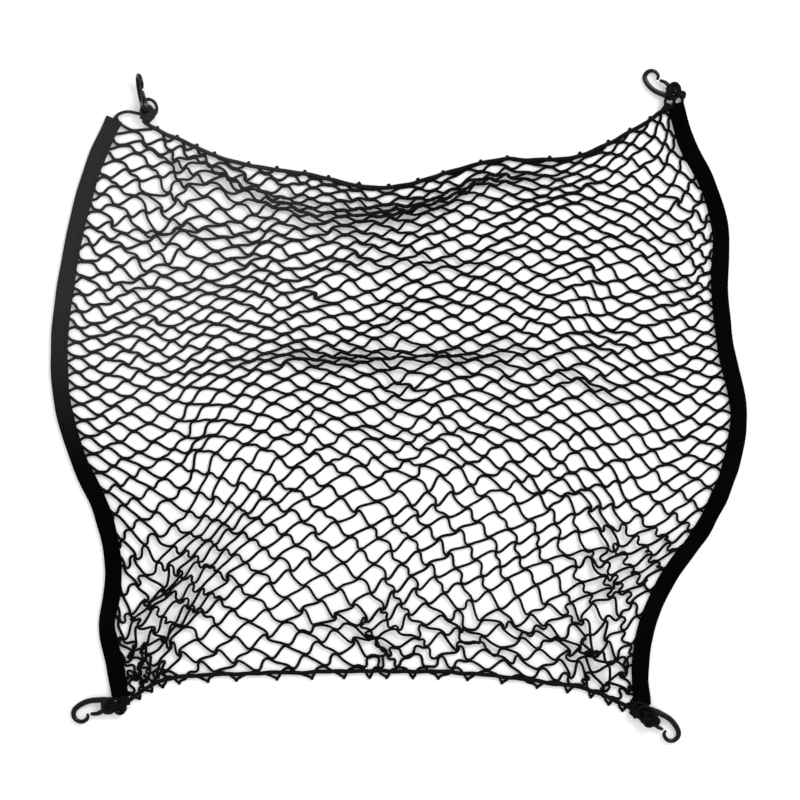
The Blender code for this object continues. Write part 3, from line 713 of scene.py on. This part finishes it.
def ridden_over(points, lattice, chains):
    """The points with one cord lifted over the other wherever two cords cross or touch."""
    points = points.copy()
    first, second = near_pairs(points, CORDS_APART)
    strange = np.abs(lattice[first] - lattice[second]).max(axis=1) > SAME_MESH
    level = np.linalg.norm(points[first, :2] - points[second, :2], axis=1)
    near = strange & (level < CORDS_APART)
    first, second, need = first[near], second[near], np.sqrt(CORDS_APART**2 - level[near] ** 2)
    leg = lattice @ LATTICE_LEVEL
    sign = np.where(np.sin(leg[second]) > np.sin(leg[first]), 1.0, -1.0)
    inner, before, after = chains[:, 1:-1], chains[:, :-2], chains[:, 2:]
    z, pushing, evening = points[:, 2], 0.3, 0.25  # how much of the way each round goes
    for _ in range(RIDE_ROUNDS):
        short = np.maximum(0, need - sign * (z[second] - z[first])) * sign * pushing
        push = np.zeros_like(z)
        np.add.at(push, second, short)
        np.add.at(push, first, -short)
        z += np.clip(push, -MOST_PUSH, MOST_PUSH)
        z[inner] += evening * ((z[before] + z[after]) / 2 - z[inner])
        np.clip(z, LOWEST, HIGHEST, out=z)
    return points


def cord_lines(net, down):
    """Each whole diagonal cord's points, from the left or an edge to the right or an edge."""
    for i, j in net.joints:
        if (i, j, down) not in net.legs or (i - 1, j - down, down) in net.legs:
            continue
        line = []
        while (i, j) in net.joints:
            k = net.joints[i, j]
            beside = down * SIDE_BY_SIDE * net.beside[k]
            over = (0, 0, ONE_OVER_OTHER * down)
            line += [net.points[2 * k] + beside + over, net.points[2 * k + 1] - beside + over]
            if (i, j, down) not in net.legs:
                break
            line += list(net.points[net.legs[i, j, down]])
            i, j = i + 1, j + down
        yield np.array(line)


def net_cords(net, down, name):
    """All the cords of one direction, whole from edge to edge."""
    weave = Weave()
    for line in cord_lines(net, down):
        pieces = LEG_PIECES * (len(line) // (LEG_POINTS + 2))
        fine = through(np.arange(len(line)), line, np.linspace(0, len(line) - 1, pieces + 1))
        weave.add_tube(fine, CORD_RADIUS, CORD_SIDES)
    return weave.build(name)


def net_joints(net):
    """The short stretches where two cords are knitted together."""
    weave = Weave()
    for (i, j), k in net.joints.items():
        if 0 < i < HALF_COLUMNS:
            a, b = net.points[2 * k], net.points[2 * k + 1]
            length = LUMP_PAST_ENDS + np.linalg.norm(b - a)
            add_capsule(weave, (a + b) / 2, b - a, length, LUMP_WIDTH, LUMP_HEIGHT, 3, 10.0)
    return weave.build("net_joints")


# ---- tapes and draw cords
def tape_outline():
    """The folded tape's cross section, from the lower lip round the fold to the upper lip."""
    fold = TAPE_THICK / 2
    corner, lip = -TAPE_HALF + fold, TAPE_HALF - LIP_EDGE

    def level(y, start, end, count):
        return [(x, y) for x in np.linspace(start, end, count)]

    def round_fold(radius, start, end, count):
        return [(corner + radius * math.cos(a), fold + radius * math.sin(a))
                for a in np.linspace(start, end, count)[1:-1]]

    return np.array([
        *level(0.0, lip, corner, 9),
        *round_fold(fold, -math.pi / 2, -3 * math.pi / 2, 9),
        *level(TAPE_THICK, corner, lip, 12),
        (TAPE_HALF, TAPE_THICK - TAPE_PLY / 2),
        *level(TAPE_THICK - TAPE_PLY, lip, corner, 7),
        *round_fold(fold - TAPE_PLY, math.pi / 2, 3 * math.pi / 2, 5),
        *level(TAPE_PLY, corner, lip, 7),
        (TAPE_HALF, TAPE_PLY / 2),
    ])


def tape_lay(line, towards_net, rng):
    """A tape's middle line, the level way towards the net, how far along, and its wandering."""
    points = smooth_line(line, TAPE_STATIONS)
    tangents = unit(np.gradient(points, axis=0))
    across = np.stack([-tangents[:, 1], tangents[:, 0]], axis=1) * towards_net
    return points, across, distances(points), Waves(rng, TAPE_SPAN)


def tape(name, line, towards_net, rng):
    points, across, along, wave = tape_lay(line, towards_net, rng)
    outline = tape_outline()
    if towards_net > 0:
        outline = outline[::-1]
    reach, height = outline.T
    ripple = wave(along, np.zeros_like(along))
    wider = TAPE_WIDER * wave(along, np.full_like(along, 90.0))
    c = reach[None, :] * (1 + wider[:, None] / TAPE_HALF)
    z = height[None, :] * (1 + TAPE_THICKER * ripple[:, None])
    level = points[:, None] + c[..., None] * across[:, None]
    weave = Weave()
    weave.add_rings(np.concatenate([level, z[..., None]], axis=2), along,
                    distances(np.r_[outline, outline[:1]])[1:])
    return weave.build(name)


def stitching(name, line, towards_net, rng):
    """The row of stitches that closes the tape on the net's edge."""
    points, across, along, _ = tape_lay(line, towards_net, rng)
    weave = Weave()
    for start in np.arange(STITCH_MARGIN, along[-1] - STITCH_MARGIN, STITCH_PITCH):
        at = np.array([start, start + STITCH_LENGTH / 2, start + STITCH_LENGTH])
        spots = through(along, points, at) + STITCH_LINE * through(along, across, at)
        add_capsule(weave, np.r_[spots[1], TAPE_THICK + 0.05], np.r_[spots[2] - spots[0], 0.0],
                    STITCH_LENGTH, STITCH_WIDTH, STITCH_HEIGHT, STITCH_LENGTH / 2, 2.2)
    return weave.build(name)


def draw_cord(name, route, rng):
    points = smooth_line(route, DRAW_CORD_STATIONS)
    along, wave = distances(points), Waves(rng, DRAW_CORD_SPAN)
    aside = unit(np.gradient(points, axis=0))[:, ::-1] * (-1, 1)
    points = points + DRAW_CORD_STRAY * wave(along, 0 * along)[:, None] * aside
    heights = DRAW_CORD_HEIGHT + DRAW_CORD_RIPPLE * wave(along, 50 + 0 * along)
    weave = Weave()
    weave.add_tube(np.c_[points, heights], DRAW_CORD_RADIUS, 12)
    return weave.build(name)


# ---- hooks and knots
def run_points():
    """The hook's middle line from its body to its point, with the radius at each step."""
    point, heading = SHANK_START.copy(), 0.0
    points, radii = [point.copy()], [SHANK_RADIUS]
    for run in HOOK_RUNS.values():
        first = radii[-1]
        for step in range(run.steps):
            turn = math.radians(run.turn / run.steps)
            if run.bend_radius:
                chord = 2 * run.bend_radius * math.sin(turn / 2)
            else:
                chord = run.length / run.steps
            middle = heading + turn / 2
            point = point + chord * Vector((math.cos(middle), math.sin(middle), 0.0))
            heading += turn
            points.append(point.copy())
            radii.append(first + (run.end_radius - first) * (step + 1) / run.steps)
    return points, radii


def rod_rings(points, radii):
    """Rings round a line of points, with a rounded end, for the hook's union."""
    points = np.array([tuple(p) for p in points])
    ahead = unit(points[-1] - points[-2])
    more = [points[-1] + ahead * radii[-1] * far for far, _ in ROUNDED_END]
    sizes = [radii[-1] * wide for _, wide in ROUNDED_END]
    return tube_rings(np.r_[points, more], [*radii, *sizes], 16)[0]


def add_closed(work, rings):
    """A closed tube through these rings, its ends flat."""
    verts = [[work.verts.new(p) for p in ring] for ring in rings]
    for low, high in zip(verts, verts[1:]):
        for side in range(len(low)):
            after = (side + 1) % len(low)
            work.faces.new((low[side], low[after], high[after], high[side]))
    work.faces.new(verts[0][::-1])
    work.faces.new(verts[-1])


def hook_block(work):
    """The flat block that holds the eye, the shank and the tongue, with rounded edges."""
    middle_x = (HOOK_BODY["front"] + HOOK_BODY["back"]) / 2
    middle_y = (HOOK_BODY["mouth_side"] + HOOK_BODY["shank_side"]) / 2
    half_x, half_y = HOOK_BODY["front"] - middle_x, HOOK_BODY["mouth_side"] - middle_y
    (c, s), power = circle(BLOCK_POINTS), BLOCK_SQUARENESS
    size = (abs(c) ** power + abs(s) ** power) ** (-1 / power)
    add_closed(work, [
        np.stack([middle_x + (half_x - inset) * size * c, middle_y + (half_y - inset) * size * s,
                  np.full(BLOCK_POINTS, level * HOOK_THICKNESS / 2)], axis=1)
        for level, inset in BLOCK_SIDE])


def modified(obj, name, kind, **settings):
    step = obj.modifiers.new(name, kind)
    for setting, value in settings.items():
        setattr(step, setting, value)


def hook_mesh():
    """One moulded hook, its parts grown together and its edges softened."""
    work = bmesh.new()
    hook_block(work)
    add_closed(work, rod_rings(*run_points()))
    sections = len(TONGUE_RADII)
    radii = through(range(sections), TONGUE_RADII, np.linspace(0, sections - 1, TONGUE_STATIONS))
    tongue = smooth_line([tuple(p) for p in TONGUE_ROUTE], TONGUE_STATIONS)
    add_closed(work, rod_rings(tongue, radii))
    solid = bpy.data.meshes.new("hook_solid")
    work.to_mesh(solid)
    work.free()
    body = link(bpy.data.objects.new("hook_solid", solid))
    modified(body, "grown together", "REMESH", mode="VOXEL", voxel_size=VOXEL)
    eye = bmesh.new()
    bmesh.ops.create_cone(
        eye, cap_ends=True, segments=32, depth=3 * HOOK_THICKNESS,
        radius1=HOOK_EYE_RADIUS, radius2=HOOK_EYE_RADIUS,
        matrix=Matrix.Translation(HOOK_EYE),
    )
    drill_mesh = bpy.data.meshes.new("hook_eye")
    eye.to_mesh(drill_mesh)
    eye.free()
    drill = link(bpy.data.objects.new("hook_eye", drill_mesh))
    modified(body, "drilled", "BOOLEAN", operation="DIFFERENCE", solver="EXACT", object=drill)
    modified(body, "even again", "REMESH", mode="VOXEL", voxel_size=VOXEL)
    modified(body, "softened", "SMOOTH", factor=0.6, iterations=6)
    bpy.context.view_layer.update()
    graph = bpy.context.evaluated_depsgraph_get()
    mesh = bpy.data.meshes.new_from_object(body.evaluated_get(graph))
    mesh.name = "hook"
    mesh.transform(Matrix.Scale(MM, 4))
    mesh.shade_smooth()
    for old in (body, drill):
        bpy.data.objects.remove(old, do_unlink=True)
    return mesh


def hook_matrix(lie):
    """Where a hook lies, in the tables' coordinates."""
    rotation = (
        Matrix.Rotation(math.radians(lie.turn), 4, "Z")
        @ Matrix.Rotation(math.radians(lie.pitch), 4, "Y")
        @ Matrix.Rotation(math.radians(lie.roll), 4, "X")
    )
    return Matrix.Translation(Vector((lie.x, lie.y, lie.z))) @ rotation


def hook(corner, mesh):
    made = bpy.data.objects.new(f"hook_{corner}_moulding", mesh.copy())
    matrix = hook_matrix(HOOK_LIES[corner])
    matrix.translation = (matrix.translation - Vector(FOOTPRINT_MIDDLE)) * MM
    made.data.transform(matrix @ Matrix.Scale(HOOK_SIZES.get(corner, 1.0), 4))
    return link(made)


def knot_middle(corner):
    """The lump of the knot lies behind the hook's body, on the surface."""
    lie, lump = HOOK_LIES[corner], KNOT_LUMPS[corner]
    turn = math.radians(lie.turn)
    return np.array((lie.x - lump.behind * math.cos(turn),
                     lie.y - lump.behind * math.sin(turn), lump.up + 0.1))


def eye_loop(lie, middle):
    """The cord from the lump over the hook's end, through its eye and back under it."""
    matrix = hook_matrix(lie)
    over = HOOK_THICKNESS / 2 + 0.4 + KNOT_CORD_RADIUS
    back, eye = HOOK_BODY["back"], HOOK_EYE
    above = [(back - 3.0, over - 1.0), (back - 0.2, over), (eye.x - 1.6, over),
             (eye.x, over - 1.8)]
    spots = [*above, (eye.x, 0), *[(x, -z) for x, z in reversed(above)]]
    world = [tuple(matrix @ Vector((x, eye.y, z))) for x, z in spots]
    return smooth_line([tuple(middle), *world, tuple(middle)], 60)


def winding(middle, sizes, turn, turns, rng):
    """A cord wound round a lump, its turns side by side."""
    half = np.array(sizes) - KNOT_CORD_RADIUS
    angle = np.linspace(0, 2 * math.pi * turns, 26 * turns)
    lay = np.linspace(-0.8, 0.8, len(angle)) + 0.06 * np.sin(3 * angle + rng.uniform(0, 6))
    ring = np.sqrt(1 - lay**2)
    local = np.stack([half[0] * ring * np.cos(angle), half[1] * lay,
                      half[2] * ring * np.sin(angle)], axis=1)
    return local @ np.array(Matrix.Rotation(turn, 3, "Z")).T + middle


def loose_turn(ring):
    """One loose turn of cord, its ends tucked over each other."""
    angle = np.linspace(0, 2.12 * math.pi, 40)
    size = 1 + 0.06 * np.sin(2 * angle) - 0.03 * angle / math.pi
    local = np.stack([ring.long * size * np.cos(angle), ring.wide * size * np.sin(angle),
                      0.5 * angle / math.pi], axis=1)
    tilt = (Matrix.Rotation(math.radians(ring.turn), 3, "Z")
            @ Matrix.Rotation(math.radians(ring.lean), 3, "X"))
    return local @ np.array(tilt).T + (ring.x, ring.y, ring.z)


def knot(corner, rng):
    """The knot's tail, its loop through the hook's eye, its windings, ties and loose turns."""
    middle = knot_middle(corner)
    route = TAIL_ROUTES[corner]
    heights = [middle[2] - (middle[2] - TAIL_HEIGHT) * min(1.0, (k + 1) / max(1, len(route) - 1.5))
               for k in range(len(route))]
    tail = [tuple(middle), *[(b.x, b.y, h) for b, h in zip(route[:-2], heights)],
            *[(b.x, b.y, TAIL_HEIGHT) for b in route[-2:]]]
    lump, turn = KNOT_LUMPS[corner], math.radians(HOOK_LIES[corner].turn)
    sizes = (lump.along, lump.across, lump.up)
    lines = [smooth_line(tail, 50), eye_loop(HOOK_LIES[corner], middle)]
    lines += [winding(middle, sizes, turn + lean, turns, rng)
              for turns, lean in ((4, 0.25), (3, 1.4))]
    lines += [winding((tie.x, tie.y, tie.z), (tie.along, tie.across, tie.up),
                      math.radians(tie.turn), tie.turns, rng) for tie in KNOT_TIES[corner]]
    lines += [loose_turn(ring) for ring in KNOT_RINGS[corner]]
    weave = Weave()
    for line in lines:
        weave.add_tube(line, KNOT_CORD_RADIUS, KNOT_CORD_SIDES)
    return weave.build(f"knot_{corner}_cord")


# ---- materials
def linear(colour):
    """A hex sRGB colour as linear RGBA."""
    srgb = [int(colour[k : k + 2], 16) / 255 for k in (0, 2, 4)]
    return (*[c / 12.92 if c <= 0.04045 else ((c + 0.055) / 1.055) ** 2.4 for c in srgb], 1.0)


def node(tree, kind, settings=(), links=()):
    """A node with its settings, and its inputs set to values or linked to sockets."""
    made = tree.nodes.new(kind)
    for name, value in dict(settings).items():
        setattr(made, name, value)
    for name, value in dict(links).items():
        if isinstance(value, bpy.types.NodeSocket):
            tree.links.new(value, made.inputs[name])
        else:
            made.inputs[name].default_value = value
    return made


def blank(name):
    made = bpy.data.materials.new(name)
    made.use_nodes = True
    made.node_tree.nodes.clear()
    return made, made.node_tree


def finished(tree, links):
    """The material's shader, with these inputs, and its output."""
    shader = node(tree, "ShaderNodeBsdfPrincipled", links=links)
    node(tree, "ShaderNodeOutputMaterial", links={"Surface": shader.outputs[0]})


def total(tree, operation, *values, **settings):
    """A sum on numbers and sockets."""
    return node(tree, "ShaderNodeMath", {"operation": operation, **settings},
                dict(enumerate(values))).outputs[0]


def noise(tree, size, detail):
    """A noise with lumps of this size in millimetres."""
    where = node(tree, "ShaderNodeTexCoord")
    return node(tree, "ShaderNodeTexNoise", links={
        "Vector": where.outputs["Object"], "Scale": 1 / (size * MM), "Detail": detail,
    }).outputs["Fac"]


def around_and_along(tree):
    """How far round a cord or tape a place is, and how far along it."""
    place = node(tree, "ShaderNodeUVMap", {"uv_map": "length"})
    parts = node(tree, "ShaderNodeSeparateXYZ", links={"Vector": place.outputs[0]})
    return parts.outputs[0], parts.outputs[1]


def ribs(tree, distance, pitch):
    """A wave over a distance, its pitch in millimetres."""
    return total(tree, "SINE", total(tree, "MULTIPLY", distance, 2 * math.pi / (pitch * MM)))


def ramp(tree, factor, low, dark, light):
    """Dark up to this factor, and from there to 1 ever lighter."""
    made = node(tree, "ShaderNodeValToRGB", links={"Fac": factor})
    first, last = made.color_ramp.elements
    first.position, first.color, last.color = low, linear(dark), linear(light)
    return made.outputs[0]


def bump(tree, height, depth, strength):
    return node(tree, "ShaderNodeBump", links={
        "Height": height, "Distance": depth * MM, "Strength": strength}).outputs[0]


def with_painted_glare(tree, colour):
    """The colour, lightened to grey towards the net's upper left corner: a painted glare of light.
    """
    where = node(tree, "ShaderNodeTexCoord")
    away = node(tree, "ShaderNodeVectorMath", {"operation": "DISTANCE"},
                {0: where.outputs["Object"], 1: [c * MM for c in GLARE_BRIGHTEST]})
    near = node(tree, "ShaderNodeMapRange", {"interpolation_type": "SMOOTHSTEP"}, {
        "Value": away.outputs["Value"], "From Min": GLARE_FULL * MM, "From Max": GLARE_GONE * MM,
        "To Min": 1.0, "To Max": 0.0})
    # the lighter grey mixed in here is painted glare, strongest at the upper left corner
    return node(tree, "ShaderNodeMix", {"data_type": "RGBA"}, {
        "Factor": near.outputs[0], "A": colour, "B": linear("2C2C2D")}).outputs["Result"]


def twisted_cord(name, dark, light, pitch, roughness, depth):
    """Fine diagonal strands that cross, with lighter patches, and lighter still towards the upper
    left as painted glare: knitted or braided polyester.
    """
    made, tree = blank(name)
    around, along = around_and_along(tree)
    slants = [total(tree, "MULTIPLY_ADD", around, way, along) for way in (1, -1)]
    strands = total(tree, "MAXIMUM", *[ribs(tree, slant, pitch) for slant in slants])
    patches = total(tree, "MULTIPLY_ADD", strands, 0.35, noise(tree, 40, 3.0), use_clamp=True)
    fuzz = total(tree, "MULTIPLY_ADD", noise(tree, 0.5, 2.0), 0.5, strands)
    finished(tree, {
        "Base Color": with_painted_glare(tree, ramp(tree, patches, 0.35, dark, light)),
        "Roughness": roughness, "Normal": bump(tree, fuzz, depth, 0.8),
        "Specular IOR Level": 0.05})
    return made


def webbing():
    """Polypropylene tape: a tight rib weave across the tape, matt black, lighter grey towards the
    upper left as painted glare.
    """
    made, tree = blank("polypropylene_webbing")
    around, along = around_and_along(tree)
    weave = total(tree, "MULTIPLY", ribs(tree, around, 1.1), ribs(tree, along, 0.9))
    patches = total(tree, "MULTIPLY_ADD", weave, 0.2, noise(tree, 60, 4.0), use_clamp=True)
    fibres = total(tree, "MULTIPLY_ADD", noise(tree, 0.6, 3.0), 0.6, weave)
    finished(tree, {
        "Base Color": with_painted_glare(tree, ramp(tree, patches, 0.3, "010101", "0A0A0B")),
        "Roughness": 0.78, "Normal": bump(tree, fibres, 0.22, 0.8), "Specular IOR Level": 0.01})
    return made


def nylon():
    """Injection-moulded nylon: black, half glossy, faintly orange-peeled."""
    made, tree = blank("moulded_nylon")
    worn = node(tree, "ShaderNodeMapRange", links={
        "Value": noise(tree, 7, 5.0), "To Min": 0.18, "To Max": 0.4})
    finished(tree, {
        "Base Color": linear("030304"), "Roughness": worn.outputs[0],
        "Normal": bump(tree, noise(tree, 1.2, 2.0), 0.05, 0.5), "Specular IOR Level": 0.15})
    return made


def paper():
    """The white surface that the net lies on."""
    made, tree = blank("white_surface")
    finished(tree, {
        "Base Color": (0.93, 0.93, 0.93, 1.0), "Roughness": 0.9, "Specular IOR Level": 0.1,
        "Emission Color": (1.0, 1.0, 1.0, 1.0), "Emission Strength": 0.1})
    return made


# ---- stage
def lit(name, lamp):
    """A round lamp that shines at the middle of the net."""
    light = bpy.data.lights.new(name, "AREA")
    light.shape, light.size, light.energy = "DISK", lamp.size, lamp.watts
    made = link(bpy.data.objects.new(name, light))
    made.location = (lamp.x, lamp.y, lamp.z)
    made.rotation_euler = (-Vector(made.location)).to_track_quat("-Z", "Y").to_euler()
    return made


def stage():
    """The camera straight above, the white surface, the lamps and a white sky."""
    scene = bpy.context.scene
    scene.view_settings.view_transform = "Standard"
    centre = (Vector((*VIEW_MIDDLE, 0)) - Vector(FOOTPRINT_MIDDLE)) * MM
    data = bpy.data.cameras.new("camera")
    data.lens, data.sensor_width = LENS, SENSOR
    data.clip_end = 100.0
    camera = link(bpy.data.objects.new("camera", data))
    camera.location = (centre.x, centre.y, VIEW_WIDTH * MM * LENS / SENSOR)
    scene.camera = camera
    mesh = bpy.data.meshes.new("surface")
    corners = [(x * SURFACE_HALF, y * SURFACE_HALF, 0)
               for x, y in ((-1, -1), (1, -1), (1, 1), (-1, 1))]
    mesh.from_pydata(corners, [], [(0, 1, 2, 3)])
    mesh.materials.append(paper())
    floor = link(bpy.data.objects.new("surface", mesh))
    floor.location.z = -SURFACE_DROP
    lamps = {name: lit(name, lamp) for name, lamp in LAMPS.items()}
    lamps["soft_box"].visible_diffuse = False  # it shows only as a sheen on the hooks and cords
    world = bpy.data.worlds.new("sky")
    world.use_nodes = True
    world.node_tree.nodes["Background"].inputs["Color"].default_value = (1, 1, 1, 1)
    world.node_tree.nodes["Background"].inputs["Strength"].default_value = 1.0
    scene.world = world


def dressed(obj, material, *nodes, slot):
    """The piece with its material, riding on the body and standing for its CAD nodes."""
    obj.data.materials.clear()
    obj.data.materials.append(material)
    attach(obj, "root")
    if nodes:
        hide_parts(*nodes)
    return obj


def main():
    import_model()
    stage()
    rng = np.random.default_rng(SEED)
    net_cord = twisted_cord("knitted_net_cord", "010101", "0B0B0C", 1.0, 0.75, 0.15)
    elastic = twisted_cord("braided_elastic_cord", "020202", "0E0E0F", 1.3, 0.65, 0.2)
    tape_cloth, plastic = webbing(), nylon()

    net = laid_net(rng)
    rising = dressed(net_cords(net, -1, "net_cords_rising"), net_cord, "net_panel",
                     slot="net_cord")
    falling = dressed(net_cords(net, 1, "net_cords_falling"), net_cord, slot="net_cord")
    joints = dressed(net_joints(net), net_cord, slot="net_cord")
    for side, line, towards in (("left", LEFT_TAPE_LINE, 1), ("right", RIGHT_TAPE_LINE, -1)):
        cloth = dressed(tape(f"{side}_tape_webbing", line, towards, rng), tape_cloth,
                        f"{side}_tape", slot="webbing")
        thread = dressed(stitching(f"{side}_tape_stitching", line, towards, rng), tape_cloth,
                         slot="webbing")
        length = sum(math.dist(a, b) for a, b in zip(line, line[1:])) * MM
    for edge, route in (("top", TOP_CORD_ROUTE), ("bottom", BOTTOM_CORD_ROUTE)):
        dressed(draw_cord(f"{edge}_draw_elastic", route, rng), elastic, f"{edge}_draw_cord",
                slot="draw_cord")
    moulding = hook_mesh()
    for corner in HOOK_LIES:
        dressed(hook(corner, moulding), plastic, f"hook_{corner}", slot="hook_nylon")
        dressed(knot(corner, rng), elastic, f"knot_{corner}", slot="draw_cord")


main()
